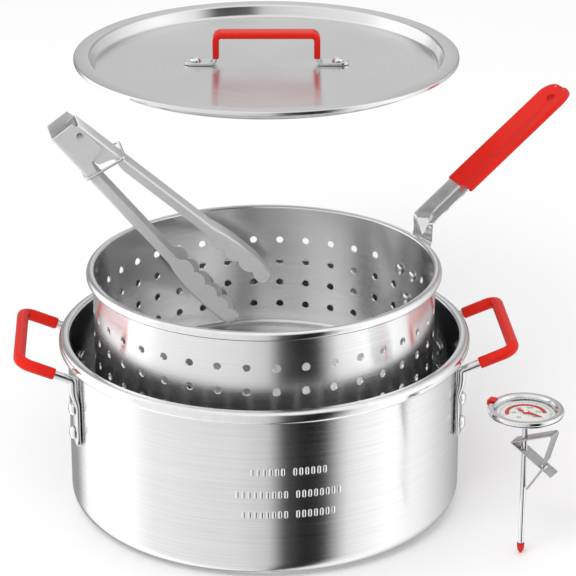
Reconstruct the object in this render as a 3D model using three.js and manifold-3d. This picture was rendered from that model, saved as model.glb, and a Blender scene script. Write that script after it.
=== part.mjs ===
// Turkey fryer kit: stock pot, perforated frying basket, lid, spring tongs and dial thermometer.
// Millimetres, +Z up.  Origin at the centre of the pot's underside, side handles on +X and -X,
// front of the pot towards -Y.  The loose pieces stand in their laid-out "exploded" places.
import * as THREE from 'three';
import Module from 'manifold-3d';
import { mergeVertices } from 'three/addons/utils/BufferGeometryUtils.js';

const wasm = await Module();
wasm.setup();

// ---------------------------------------------------------------- driving dimensions
const GAP = 0.3;   // clearance between neighbouring pieces
const POT = { r: 150, wall: 2, h: 136, corner: 14, beadR: 156.5, beadZ: 126.5 };
// raised bars on the pot's front: [height, [start, middle and end of the row in degrees]]
const RAISED = { rows: [[87, [-18, -3.5, 13]], [69, [-21, -3, 17]], [53, [-19, -1, 16]]], middle: -86.5,
  height: 7,
  proud: 0.7, split: 1.5 };
const BASKET = { r: 129.5, wall: 1.5, z: 85, h: 103, corner: 11, beadR: 134.2, bead: 6.5 };
const HOLES = { d: 5.6, columns: 38, phase: 90.7, drops: [28.7, 47.1, 65.5, 84.1] };
const DRAIN = { d: 6.5, rings: [[30, 6], [60, 12], [90, 18]] };
const LID = { r: 154, recess: 141.7, depth: 11, t: 1.5, at: [11.5, 164.6, 305], turn: -3.7 };
const LID_HANDLE = { bar: 81, rise: 25, feet: 132, rivets: 113.7, w: 12, t: 2.4 };
const SIDE = { halfSpan: 48.6, rod: 3.1, reach: 185, top: 134, bend: 118, plateTop: 104, plateLow: 64,
  plateW: 14,
  plateT: 3.4, rivets: [95, 75.5], sleeve: 4.5, sleeveFrom: 159 };
const ARM = { azimuth: 26.3, w: 27, t: 2, fromWall: 143, crease: 193, slope: 34.4, vee: 3.5, length: 155.5,
  grip: 43, gripEnd: 158.5, gripWall: 1.4, hang: 145.6, hangR: 6.2 };
const ARM_RIVETS = [[-9, 155.8], [9, 155.8], [0, 134.3]];
// rivet sizes: head and shank radius, dome and inner head height, radius of the hole it stands in
const SIDE_RIVET = { head: 5.2, shank: 2.5, dome: 3.4, tail: 1.6, hole: 2.9 };
const ARM_RIVET = { head: 4.2, shank: 2.2, dome: 1.8, tail: 1.6, hole: 2.6 };
const LID_RIVET = { head: 4.6, shank: 2.2, dome: 2.6, tail: 1.2, hole: 2.6 };
const TONGS = { rear: [-153.9, 45.4, 279.5], tip: [-17, 110.9, 93], roll: 18, w: 22, t: 1, open: 8.6,
  pin: [6, 14.5] };
const THERMO = { at: [183.6, -119.1], caseZ: 106.5, caseR: 27.5, dishR: 7, rimZ: 8, bezelR: 28, window: 21.9,
  stemR: 2,
  wall: 1, dialZ: 7, pointerZ: 8.3, lensZ: 9.9, bezelZ: 8.8, topZ: 12,
  pointing: -44 };   // degrees from +X
const CLIP = { turn: -34.4, w: 11.8, t: 1, left: [-8.3, 90.7], right: [24.6, 104.2], cross: [16.7, 75.3],
  spring: [3.6, 54], tab: [24.5, 70.5] };

// ---------------------------------------------------------------- materials
const look = (name, color, metalness, roughness, extra = {}) =>
  new THREE.MeshStandardMaterial({ name, color, metalness, roughness, ...extra });
const MAT = {
  pot: look('brushed_aluminium', 0xc9cacb, 0.9, 0.35),
  basket: look('satin_aluminium', 0xbcbdbe, 0.9, 0.4),
  lid: look('spun_aluminium', 0xc4c5c6, 0.9, 0.38),
  chrome: look('plated_steel', 0xb4b6b8, 0.95, 0.2),
  red: look('red_vinyl', 0xd92a1c, 0.0, 0.45),
  rivet: look('rivet_aluminium', 0xd5d6d8, 0.9, 0.3),
  spring: look('spring_steel', 0x8c8f92, 0.9, 0.35),
  dial: look('white_dial', 0xf2f0ea, 0.0, 0.6),
  glass: look('clear_lens', 0xe8f0f2, 0.0, 0.05, { transparent: true, opacity: 0.35 }),
};

// ---------------------------------------------------------------- solid helpers
const rad = THREE.MathUtils.degToRad;
const turn = (axis, degrees) => new THREE.Matrix4()[`makeRotation${axis}`](rad(degrees));
const move = (x, y, z) => new THREE.Matrix4().makeTranslation(x, y, z);
const chain = (...steps) => steps.reduce((all, step) => step.clone().multiply(all), new THREE.Matrix4());

function solid(geometry, matrix = new THREE.Matrix4()) {
  const bare = geometry.clone().applyMatrix4(matrix);
  bare.deleteAttribute('normal');
  bare.deleteAttribute('uv');
  const merged = mergeVertices(bare, 1e-4);
  const corners = Array.from(merged.index.array);
  const build = (flip) => {
    const triVerts = [];
    for (let i = 0; i < corners.length; i += 3) {
      const [a, b, c] = corners.slice(i, i + 3);
      if (a !== b && b !== c && c !== a) triVerts.push(a, flip ? c : b, flip ? b : c);
    }
    const vertProperties = new Float32Array(merged.attributes.position.array);
    return new wasm.Manifold(new wasm.Mesh({ numProp: 3, vertProperties,
      triVerts: new Uint32Array(triVerts) }));
  };
  const first = build(false);
  return first.volume() > 0 ? first : build(true);
}

const all = (...solids) => solids.flat().reduce((sum, next) => sum.add(next));
const less = (body, ...cutters) => cutters.flat().reduce((rest, next) => rest.subtract(next), body);
const shapeOf = (points) => new THREE.Shape(points.map(([x, y]) => new THREE.Vector2(x, y)));

// closed (radius, height) profile turned about the Z axis
function lathe(profile, segments, matrix) {
  const closed = profile[0][0] === 0 ? profile : [...profile, profile[0]];
  const points = closed.map(([r, z]) => new THREE.Vector2(r, z));
  return solid(new THREE.LatheGeometry(points, segments),
    chain(turn('X', 90), matrix ?? new THREE.Matrix4()));
}

// outline in XY pulled up Z from 0 to depth
const prism = (outline, depth, matrix) =>
  solid(new THREE.ExtrudeGeometry(shapeOf(outline), { depth, bevelEnabled: false }), matrix);

const cylinder = (r, z0, z1, segments, matrix) =>
  lathe([[0, z0], [r, z0], [r, z1], [0, z1]], segments, matrix);

// side outline given in (x, z), as thick as `width` and centred on y = `y`
const sidePlate = (outline, width, y = 0) => prism(outline, width,
  chain(turn('X', 90), move(0, y + width / 2, 0)));

// sheet-metal band of thickness t following a polyline, as a closed outline with mitred corners
function bandOutline(points, t) {
  const left = [], right = [];
  points.forEach(([x, y], i) => {
    const before = points[Math.max(i - 1, 0)], after = points[Math.min(i + 1, points.length - 1)];
    const a = new THREE.Vector2(x - before[0], y - before[1]),
      b = new THREE.Vector2(after[0] - x, after[1] - y);
    if (i === 0) a.copy(b);
    if (i === points.length - 1) b.copy(a);
    a.normalize();
    b.normalize();
    const mid = a.clone().add(b).normalize();
    const reach = t / 2 / Math.max(mid.dot(a), 0.35);
    left.push([x - mid.y * reach, y + mid.x * reach]);
    right.push([x + mid.y * reach, y - mid.x * reach]);
  });
  return [...left, ...right.reverse()];
}

// polyline with each inner corner replaced by a short arc of the given radius
function rounded(points, radius, cuts = 3) {
  const out = [points[0]];
  for (let i = 1; i < points.length - 1; i++) {
    const p = new THREE.Vector3(...points[i]);
    const a = new THREE.Vector3(...points[i - 1]).sub(p), b = new THREE.Vector3(...points[i + 1]).sub(p);
    const cut = Math.min(radius, a.length() / 2, b.length() / 2);
    const bend = new THREE.QuadraticBezierCurve3(p.clone().addScaledVector(a.normalize(), cut), p,
      p.clone().addScaledVector(b.normalize(), cut));
    bend.getPoints(cuts).forEach((q) => out.push(q.toArray()));
  }
  return [...out, points[points.length - 1]];
}

// round rod or sleeve along a 3-D polyline; the curve is sampled exactly at the polyline's own points
class Polyline extends THREE.Curve {
  constructor(points) {
    super();
    this.nodes = points.map((p) => new THREE.Vector3(...p));
  }

  getPoint(t, target = new THREE.Vector3()) {
    const s = Math.min(Math.max(t, 0), 1) * (this.nodes.length - 1);
    const i = Math.min(Math.floor(s), this.nodes.length - 2);
    return target.lerpVectors(this.nodes[i], this.nodes[i + 1], s - i);
  }

  getPointAt(u, target) { return this.getPoint(u, target); }

  getTangentAt(u, target = new THREE.Vector3()) {
    const i = Math.round(u * (this.nodes.length - 1));
    const before = this.nodes[Math.max(i - 1, 0)], here = this.nodes[i];
    const after = this.nodes[Math.min(i + 1, this.nodes.length - 1)];
    const inward = here.clone().sub(before).normalize(), outward = after.clone().sub(here).normalize();
    return target.copy(inward).add(outward).normalize();
  }
}

function rod(points, r, sides, bore = 0) {
  const section = new THREE.Shape();
  const ring = (radius) => Array.from({ length: sides }, (_, k) => {
    const angle = (k / sides) * 2 * Math.PI;
    return new THREE.Vector2(radius * Math.cos(angle), radius * Math.sin(angle));
  });
  section.setFromPoints(ring(r));
  if (bore > 0) section.holes.push(new THREE.Path(ring(bore)));
  const path = new Polyline(points);
  return solid(new THREE.ExtrudeGeometry(section,
    { extrudePath: path, steps: points.length - 1, bevelEnabled: false }));
}

const group = new THREE.Group();
group.name = 'turkey_fryer_kit';

function put(name, body, material) {
  const mesh = body.getMesh();
  const geometry = new THREE.BufferGeometry();
  const points = new Float32Array((mesh.vertProperties.length / mesh.numProp) * 3);
  for (let i = 0; i < points.length / 3; i++) {
    for (let k = 0; k < 3; k++) points[3 * i + k] = mesh.vertProperties[mesh.numProp * i + k];
  }
  geometry.setAttribute('position', new THREE.BufferAttribute(points, 3));
  geometry.setIndex(new THREE.BufferAttribute(new Uint32Array(mesh.triVerts), 1));
  geometry.computeVertexNormals();
  const piece = new THREE.Mesh(geometry, material);
  piece.name = name;
  group.add(piece);
}

// domed rivet along +X: outer head face at x = grip, inner head face at x = 0
function rivet(grip, { head, shank, dome, tail }, matrix) {
  const profile = [[0, -tail], [head * 0.8, -tail], [head, 0], [shank, 0], [shank, grip], [head, grip],
    [head * 0.75, grip + dome * 0.75], [0, grip + dome]];
  return lathe(profile, 10, chain(turn('Y', 90), matrix));
}

// ---------------------------------------------------------------- pot
function potShell() {
  const { r, wall, h, corner, beadR, beadZ } = POT, inner = r - wall;
  const arc = (cr, radius, steps) => Array.from({ length: steps + 1 }, (_, k) => {
    const a = (k / steps) * Math.PI / 2;
    return [cr + radius * Math.sin(a), corner - radius * Math.cos(a)];
  });
  const profile = [[0, 0], ...arc(r - corner, corner, 4), [r, beadZ + 1], [beadR - 2, beadZ],
    [beadR, beadZ + 3],
    [beadR, h - 3.5], [beadR - 2.2, h - 0.8], [beadR - 4, h], [inner + 1.5, h], [inner, h - 2],
    ...arc(r - corner, corner - wall, 3).reverse(), [0, wall]];
  const { rows, middle, height, proud, split } = RAISED;
  const bars = rows.flatMap(([z, [from, mid, to]]) => [[z, from, mid - split], [z, mid + split, to]]);
  const raised = bars.map(([z, from, to]) => {
    const steps = Math.ceil((to - from) / 4), edge = (radius) => Array.from({ length: steps + 1 }, (_, k) => {
      const a = rad(middle + from + ((to - from) * k) / steps);
      return [radius * Math.cos(a), radius * Math.sin(a)];
    });
    return prism([...edge(r - wall / 2), ...edge(r + proud).reverse()], height, move(0, 0, z - height / 2));
  });
  const bores = [1, -1].flatMap((side) => [1, -1].flatMap((end) => SIDE.rivets.map((z) =>
    cylinder(SIDE_RIVET.hole, -6, 6, 8, sideRivetPlace(side, end, z)))));
  return less(all(lathe(profile, 60), raised), bores);
}

const sideAngle = Math.asin(SIDE.halfSpan / (POT.r + 3.6)) * 180 / Math.PI;
// local frame at a side-handle foot: +X straight out of the wall, x = 0 at the wall's outer face
const footFrame = (side, end) =>
  chain(move(POT.r, 0, 0), turn('Z', end * sideAngle), turn('Z', side > 0 ? 0 : 180));
const sideRivetPlace = (side, end, z) => chain(turn('Y', 90), move(0, 0, z), footFrame(side, end));

function sideHandle(side) {
  const wall = POT.r + GAP + SIDE.rod + 0.1, a = rad(sideAngle);
  const x = wall * Math.cos(a), y = wall * Math.sin(a), { reach, top, bend, plateTop, sleeveFrom } = SIDE;
  const at = (px) => bend + ((px - x) / (reach - x)) * (top - bend);
  const leg = (end) => [[x, end * y, plateTop - 2], [x, end * y, bend],
    [sleeveFrom + 2, end * y, at(sleeveFrom + 2)]];
  const corners = [[reach, -y, top], [reach, y, top]];
  const flip = ([px, py, pz]) => [side * px, side * py, pz];
  const whole = rounded([...leg(-1), ...corners, ...leg(1).reverse()].map(flip), 9, 4);
  const sleeve = rounded([[sleeveFrom, -y, at(sleeveFrom)], ...corners,
    [sleeveFrom, y, at(sleeveFrom)]].map(flip), 9, 4);
  const plates = [1, -1].map((end) => {
    const { plateW: w, plateT: t, plateLow: low } = SIDE, c = 4;
    const outline = [[-w / 2, low + c], [-w / 2 + c, low], [w / 2 - c, low], [w / 2, low + c],
      [w / 2, plateTop - 5],
      [3, plateTop], [-3, plateTop], [-w / 2, plateTop - 5]];
    const plate = prism(outline, t, chain(turn('X', 90), turn('Z', 90), move(GAP, 0, 0),
      footFrame(side, end)));
    return less(plate, SIDE.rivets.map((z) => cylinder(SIDE_RIVET.hole, -6, 6, 8,
      sideRivetPlace(side, end, z))));
  });
  const label = side > 0 ? 'right' : 'left';
  put(`${label}_side_handle_rod`, all(rod(whole, SIDE.rod, 8), plates), MAT.chrome);
  put(`${label}_side_handle_sleeve`, rod(sleeve, SIDE.sleeve, 10, SIDE.rod + 0.55), MAT.red);
  [[-1, 'front'], [1, 'back']].forEach(([end, where]) => {
    SIDE.rivets.forEach((z, k) => {
      const innerHead = POT.wall + 0.7, grip = innerHead + SIDE.plateT + 2 * GAP;
      const place = chain(move(-innerHead, 0, z), footFrame(side, end * side));
      put(`${label}_${where}_rivet_${k ? 'lower' : 'upper'}`, rivet(grip, SIDE_RIVET, place), MAT.rivet);
    });
  });
}

put('pot_shell', potShell(), MAT.pot);
sideHandle(-1);
sideHandle(1);

// ---------------------------------------------------------------- basket
const basketArm = (matrix) => chain(matrix, turn('Z', ARM.azimuth));
const alongArm = chain(turn('Y', -ARM.slope), move(ARM.fromWall, 0, ARM.crease), turn('Z', ARM.azimuth));

function basketShell() {
  const { r, wall, z, h, corner, beadR, bead } = BASKET, top = z + h, inner = r - wall, ri = corner - wall;
  const arc = (radius, steps) => Array.from({ length: steps + 1 }, (_, k) => {
    const a = (k / steps) * Math.PI / 2;
    return [r - corner + radius * Math.sin(a), z + corner - radius * Math.cos(a)];
  });
  const profile = [[0, z + 1.5], [106, z + 1.5], [108, z], ...arc(corner, 3), [r, top - bead + 1],
    [beadR - 1, top - bead],
    [beadR, top - bead + 2], [beadR, top - 2.4], [beadR - 1.8, top], [inner + 1.2, top], [inner, top - 1.4],
    ...arc(ri, 3).reverse(), [107.5, z + wall], [105.5, z + 1.5 + wall], [0, z + 1.5 + wall]];
  const step = 360 / HOLES.columns, side = [];
  for (let k = 0; k < HOLES.columns; k++) {
    const angle = HOLES.phase + k * step, off = ((angle - ARM.azimuth + 540) % 360) - 180;
    for (const drop of HOLES.drops) {
      const hitsRivet = ARM_RIVETS.some(([t, rz]) => Math.hypot(t - rad(off) * r, rz - (top - drop)) < 9);
      if (hitsRivet) continue;
      side.push(cylinder(HOLES.d / 2, r - 4, r + 4, 6,
        chain(turn('Y', 90), move(0, 0, top - drop), turn('Z', angle))));
    }
  }
  const floor = DRAIN.rings.flatMap(([radius, count]) => Array.from({ length: count }, (_, k) =>
    cylinder(DRAIN.d / 2, z - 2, z + 6, 6, chain(move(radius, 0, 0), turn('Z', (360 * k) / count)))));
  const bores = ARM_RIVETS.map(([t, rz]) =>
    cylinder(ARM_RIVET.hole, r - 6, r + 6, 8, chain(turn('Y', 90), basketArm(move(0, t, rz)))));
  const facet = turn('Z', HOLES.phase + 90 + step / 2);
  return less(lathe(profile, HOLES.columns, facet), side, floor, bores);
}

// shallow V section in (across, up), `grow` thicker all round
function veeSection(halfWidth, thickness, grow) {
  const edge = halfWidth + grow, over = thickness + grow, rise = ARM.vee;
  return [[-edge, rise - grow], [0, -grow], [edge, rise - grow], [edge, rise + over], [0, over],
    [-edge, rise + over]];
}
const veeBar = (halfWidth, grow, from, to) =>
  prism(veeSection(halfWidth, ARM.t, grow), to - from,
    chain(turn('X', 90), turn('Z', 90), move(from, 0, 0), alongArm));

function basketHandle() {
  const { fromWall, crease, w, t, length } = ARM, wallX = BASKET.r + GAP + 0.2 + t / 2;
  const side = [[wallX, 125], [wallX, 166], [fromWall, 183], [fromWall, crease + 4.5]];
  const strap = sidePlate(bandOutline(side, t), w);
  const corner = (sign) => prism([[124, sign * 20], [124, sign * 7.5], [131, sign * 14.5], [131, sign * 20]],
    12,
    chain(turn('Y', -90), move(140, 0, 0)));
  const nibble = (sign) => prism([[length - 10, sign * 20], [length - 10, sign * 14],
    [length + 1, sign * 7.5],
    [length + 5, sign * 7.5], [length + 5, sign * 20]], 20, chain(move(0, 0, -6), alongArm));
  const across = (r, sides) => cylinder(r, -8, 14, sides, chain(move(ARM.hang, 0, 0), alongArm));
  const bores = ARM_RIVETS.map(([ty, rz]) =>
    cylinder(ARM_RIVET.hole, BASKET.r - 6, BASKET.r + 8, 8, chain(turn('Y', 90), move(0, ty, rz))));
  const flat = less(strap, bores, corner(1), corner(-1));
  const placed = flat.transform(turn('Z', ARM.azimuth).toArray());
  const bar = less(veeBar(w / 2, 0, -0.5, length), nibble(1), nibble(-1), across(ARM.hangR, 12));
  put('basket_handle_strap', all(placed, bar), MAT.chrome);

  const outer = veeBar(w / 2, GAP + ARM.gripWall, ARM.grip, ARM.gripEnd);
  const pocket = less(veeBar(w / 2, GAP, ARM.grip - 2, length + GAP), across(ARM.hangR - GAP, 12));
  const trim = (sign) => prism([[length - 12, sign * 24], [length - 12, sign * 18], [length - 3, sign * 15.2],
    [length + 1.4, sign * 9.5], [ARM.gripEnd + 2, sign * 8.5], [ARM.gripEnd + 2, sign * 24]], 24,
  chain(move(0, 0, -8), alongArm));
  put('basket_handle_grip', less(outer, pocket, trim(1), trim(-1), across(ARM.hangR - 2.6, 10)), MAT.red);
}

put('basket_shell', basketShell(), MAT.basket);
basketHandle();
ARM_RIVETS.forEach(([t, z], k) => {
  const grip = BASKET.wall + ARM.t + 2 * GAP + 1.5;
  const place = basketArm(move(BASKET.r - BASKET.wall - 1.3, t, z));
  put(`basket_rivet_${['front', 'back', 'lower'][k]}`, rivet(grip, ARM_RIVET, place), MAT.rivet);
});

// ---------------------------------------------------------------- lid
const lidPlace = chain(turn('Z', LID.turn), move(...LID.at));

function lid() {
  const { r, recess, depth, t } = LID, { bar, rise, feet, rivets, w, t: strapT } = LID_HANDLE,
    floor = t - depth;
  const profile = [[0, -depth], [recess - 5, -depth], [recess - 1, -depth + 2.5], [recess + 0.5, -t - 1],
    [recess + 2, -t], [r - 1.5, -t], [r - 1.2, -3.2], [r, -3.2], [r, -1], [r - 1, 0], [recess + 1.4, 0],
    [recess - 1, -1.5], [recess - 2.5, -depth + 3.6], [recess - 5.6, floor], [0, floor]];
  const bores = [1, -1].map((s) => cylinder(LID_RIVET.hole, -20, 20, 8, move((s * rivets) / 2, 0, 0)));
  put('lid_plate', less(lathe(profile, 60, lidPlace), bores.map((b) => b.transform(lidPlace.toArray()))),
    MAT.lid);

  const low = floor + GAP + strapT / 2, high = floor + rise;
  const line = [[-feet / 2, low], [-bar / 2, low], [-bar / 2, high], [bar / 2, high], [bar / 2, low],
    [feet / 2, low]];
  const bent = rounded(line.map(([x, z]) => [x, 0, z]), 5, 3).map(([x, , z]) => [x, z]);
  const strap = sidePlate(bandOutline(bent, strapT), w);
  const ends = [1, -1].flatMap((s) => [1, -1].map((v) =>
    prism([[s * (feet / 2 + 1), v * 10], [s * (feet / 2 - 5), v * 10],
    [s * (feet / 2 - 5), v * (w / 2 + 0.1)], [s * (feet / 2 + 1), v * 1.5]], 12, move(0, 0, floor - 4))));
  put('lid_handle_strap', less(strap, bores, ends).transform(lidPlace.toArray()), MAT.chrome);

  const cover = rounded([[-bar / 2, 0, low + 5], [-bar / 2, 0, high], [bar / 2, 0, high],
    [bar / 2, 0, low + 5]], 5, 3)
    .map(([x, , z]) => [x, z]);
  const sleeve = sidePlate(bandOutline(cover, strapT + 2 * GAP + 2), w + 2 * GAP + 2);
  const cavity = sidePlate(bandOutline([[-bar / 2, low + 3], ...cover.slice(1, -1), [bar / 2, low + 3]],
    strapT + 2 * GAP), w + 2 * GAP);
  put('lid_handle_sleeve', less(sleeve, cavity).transform(lidPlace.toArray()), MAT.red);

  [[-1, 'left'], [1, 'right']].forEach(([s, where]) => {
    const place = chain(turn('Y', -90), move((s * rivets) / 2, 0, -depth - GAP), lidPlace);
    put(`lid_${where}_rivet`, rivet(t + strapT + 3 * GAP, LID_RIVET, place), MAT.rivet);
  });
}
lid();

// ---------------------------------------------------------------- tongs
const tongsAxis = new THREE.Vector3(...TONGS.tip).sub(new THREE.Vector3(...TONGS.rear)).normalize();
const tongsSide = new THREE.Vector3(-tongsAxis.y, tongsAxis.x, 0).normalize();
const tongsUp = tongsAxis.clone().cross(tongsSide);
const tongsPlace = chain(turn('X', TONGS.roll), new THREE.Matrix4().makeBasis(tongsAxis, tongsSide, tongsUp),
  move(...TONGS.rear));
const upperPlace = chain(turn('Y', -TONGS.open), move(TONGS.pin[0], 0, TONGS.pin[1]), tongsPlace);
const pinTurn = turn('X', 90);

// wavy gripping edge between x0 and x1: `count` round lobes of the given depth, measured from a base height
const lobes = (x0, x1, count, base, depth, sign) => Array.from({ length: 6 * count + 1 }, (_, k) =>
  [x0 + ((x1 - x0) * k) / (6 * count), base + sign * depth * Math.abs(Math.sin((k / 6) * Math.PI)) ** 0.6]);

// U channel: side outline as two cheeks plus a back sheet following `spine`, with a pin hole
function channel(outline, spine, width, t, pin) {
  const cheeks = [1, -1].map((s) => sidePlate(outline, t, s * (width / 2 - t / 2)));
  const back = sidePlate(bandOutline(spine, t), width);
  return less(all(back, cheeks), cylinder(2.2, -20, 20, 10, chain(pinTurn, move(pin[0], 0, pin[1]))));
}

function tongs() {
  const { w, t, pin } = TONGS;
  const lowerSpine = [[-5, -3.5], [148, -3.5], [158, -5.5], [176, -6.8], [204, -6], [224, -3.2], [234, 1]];
  const lowerEdge = lobes(152, 232, 5, 5, 4.5, 1).reverse();
  const lowerSide = [...lowerSpine.map(([x, z]) => [x, z - 0.3]), [234.5, 4], ...lowerEdge, [146, 4], [44, 4],
    [30, 7], [27, 20.5], [3, 17.8], [-5, 15.8]];
  put('tongs_lower_arm', channel(lowerSide, lowerSpine, w, t, pin).transform(tongsPlace.toArray()),
    MAT.chrome);

  const upperSpine = [[-5, 5.2], [144, 5.2], [154, 6.6], [172, 7.8], [196, 7], [212, 4.6], [219, 1.6]];
  const upperEdge = lobes(148, 216, 4, -2.6, 4.2, -1).reverse();
  const upperSide = [...upperSpine.map(([x, z]) => [x, z + 0.3]), [219.5, -0.5], ...upperEdge, [142, -1.8],
    [50, -1.8],
    [44, -0.2], [36, -2.6], [32, -9], [22, -12], [19, -6], [-5, -4]];
  const arch = cylinder(4.6, -20, 20, 12, chain(pinTurn, move(37, 0, -3)));
  put('tongs_upper_arm', less(channel(upperSide, upperSpine, w - 4, t, [0, 0]), arch)
    .transform(upperPlace.toArray()), MAT.chrome);

  const head = 3.2, half = w / 2 + GAP;
  const pinShape = [[0, -half - 1], [head, -half - 1], [head, -half], [1.8, -half], [1.8, half], [head, half],
    [head, half + 1], [0, half + 1]];
  put('tongs_pivot_pin', lathe(pinShape, 10, chain(pinTurn, move(pin[0], 0, pin[1]), tongsPlace)), MAT.rivet);
  const coil = [[2.2, -5.5], [3.7, -5.5], [3.7, 5.5], [2.2, 5.5]];
  put('tongs_spring', lathe(coil, 10, chain(pinTurn, move(pin[0], 0, pin[1]), tongsPlace)), MAT.spring);

  const wire = 1.0, across = w / 2 + GAP + wire + 0.4, low = -4.3 - GAP - wire, high = 27.6 + GAP + wire,
    lean = 2.4;
  const corners = [[40, -across, low], [40 + 2 * lean, -across, high], [40 + 2 * lean, across, high],
    [40, across, low]];
  const start = [40 + lean, -across, (low + high) / 2];
  const loop = rounded([start, ...corners.slice(1), corners[0], start], 3.5, 2);
  put('tongs_lock_ring', closedRod(loop, wire, 6).transform(tongsPlace.toArray()), MAT.chrome);
}

// rod bent into a closed loop: the two ends overlap by a short length and are fused
function closedRod(points, r, sides) {
  const a = new THREE.Vector3(...points[0]), b = new THREE.Vector3(...points[1]);
  const past = a.clone().lerp(b, 0.3).toArray();
  return all(rod(points, r, sides), rod([points[0], past], r * 1.02, sides),
    rod([points[points.length - 2], points[0]], r * 1.02, sides));
}
tongs();

// ---------------------------------------------------------------- thermometer
function thermometer() {
  const { at: [x, y], caseZ: z, caseR, dishR, rimZ, bezelR, window, stemR, wall } = THERMO,
    here = move(x, y, 0);
  const turned = (name, profile, segments, material) => put(name, lathe(profile, segments, here), material);
  const slope = rimZ / (caseR - dishR), lift = wall * Math.hypot(1, slope), well = caseR - 3 * wall;
  const dialZ = z + THERMO.dialZ, lensZ = z + THERMO.lensZ, low = z + THERMO.bezelZ, top = z + THERMO.topZ;
  const inside = window - GAP;
  // shallow dish: its back slopes up from the stem to a flat rim under the bezel
  turned('thermometer_case', [[1.4, z], [dishR, z], [caseR, z + rimZ], [caseR, low - GAP], [well, low - GAP],
    [well, z + slope * (well - dishR) + lift], [dishR, z + lift], [1.4, z + lift]], 40, MAT.chrome);
  turned('thermometer_bezel', [[window, low], [bezelR, low], [bezelR, top - 1], [bezelR - 1.6, top],
    [window + 1.4, top], [window, top - 1.4]], 40, MAT.chrome);
  turned('thermometer_lens', [[0, lensZ], [inside, lensZ], [inside, lensZ + 1], [0, lensZ + 1]], 32,
    MAT.glass);
  turned('thermometer_dial', [[1.4, dialZ], [inside - 0.2, dialZ], [inside - 0.2, dialZ + 0.8],
    [1.4, dialZ + 0.8]],
    32, MAT.dial);
  turned('thermometer_stem', [[1.45, 2.8], [stemR, 2.8], [stemR, z - GAP], [1.45, z - GAP]], 12, MAT.chrome);
  turned('stem_collar', [[2.35, 103], [3.4, 103], [3.9, 103.6], [3.9, 105.6], [3.4, z - GAP],
    [2.35, z - GAP]], 12, MAT.chrome);
  turned('stem_tip_cap', [[0, 0], [0.9, 0.6], [2.9, 4.2], [3, 7.4], [2.7, 8.1], [2.35, 8.1], [2.35, 2.5],
    [0, 2.5]],
    12, MAT.red);
  turned('bimetal_coil', [[0.75, 12], [1.15, 12], [1.15, 46], [0.75, 46]], 8, MAT.spring);
  const pointerZ = z + THERMO.pointerZ, spindleTop = pointerZ - GAP;
  turned('pointer_spindle', [[0, 11], [0.45, 11], [0.45, spindleTop], [0, spindleTop]], 8, MAT.spring);

  const blade = [[-7, -0.8], [4, -1.1], [17, 0], [4, 1.1], [-7, 0.8]];
  const hub = cylinder(2.6, pointerZ, pointerZ + 1.2, 12);
  const needle = all(hub, prism(blade, 0.7, chain(move(0, 0, pointerZ + 0.3), turn('Z', THERMO.pointing))));
  put('pointer_needle', needle.transform(here.toArray()), MAT.red);

  const markerSide = [[bezelR + GAP, low], [bezelR + 1.7, low], [bezelR + 1.7, top + 1.4],
    [window + 1.6, top + 1.4],
    [window + 1.6, top + GAP], [bezelR + GAP, top + GAP]];
  const marker = sidePlate(markerSide, 6.5).transform(chain(turn('Z', 147.6), here).toArray());
  put('target_marker', marker, MAT.red);
}
thermometer();

// one bent strip: tab, up to the left corner, across to the right corner, down through its own slot to a spring leg
function stemClip() {
  const { turn: angle, w, t, left, right, cross: [cx, cz], spring, tab } = CLIP;
  const band = (points, thickness, width) => sidePlate(bandOutline(points, thickness), width);
  const slot = band([[cx - 2.6, cz - 4.2], [cx, cz], [cx + 1.1, cz + 4.2]], t + 2.6, 7);
  const lower = less(band([tab, left], t, w), slot);
  const upper = band([[left[0] + 1.2, left[1] - 0.8], left, right, [cx + 0.9, cz + 4.4]], t, w);
  const leg = band([[cx + 1.2, cz + 5.6], [cx, cz], spring], t, 5.5);
  const whole = less(all(lower, upper, leg), cylinder(2.6, 80, 100, 12));
  put('stem_clip', whole.transform(chain(turn('Z', angle), move(...THERMO.at, 0)).toArray()), MAT.chrome);
}
stemClip();

export default group;
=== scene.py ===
"""Turkey fryer kit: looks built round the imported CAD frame, in millimetres until `object_of` scales them."""
from math import acos, asin, atan2, cos, degrees, hypot, pi, radians, sin, sqrt, tan, tau

import bmesh
import bpy
from mathutils import Matrix, Vector


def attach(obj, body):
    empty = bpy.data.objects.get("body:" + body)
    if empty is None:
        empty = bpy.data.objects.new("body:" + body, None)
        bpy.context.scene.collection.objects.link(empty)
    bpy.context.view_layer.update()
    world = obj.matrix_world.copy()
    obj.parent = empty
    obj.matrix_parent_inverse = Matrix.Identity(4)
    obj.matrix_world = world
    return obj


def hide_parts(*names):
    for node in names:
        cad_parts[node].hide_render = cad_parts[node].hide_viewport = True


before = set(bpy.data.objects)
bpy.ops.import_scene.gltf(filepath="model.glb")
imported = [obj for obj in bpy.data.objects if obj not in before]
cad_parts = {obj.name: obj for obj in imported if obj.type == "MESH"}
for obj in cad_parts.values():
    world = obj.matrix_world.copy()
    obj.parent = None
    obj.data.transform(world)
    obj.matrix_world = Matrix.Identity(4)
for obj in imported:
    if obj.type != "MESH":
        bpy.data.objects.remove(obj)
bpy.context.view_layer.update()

MM = 0.001
ROUND = 192                      # segments round the large spun pieces

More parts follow.
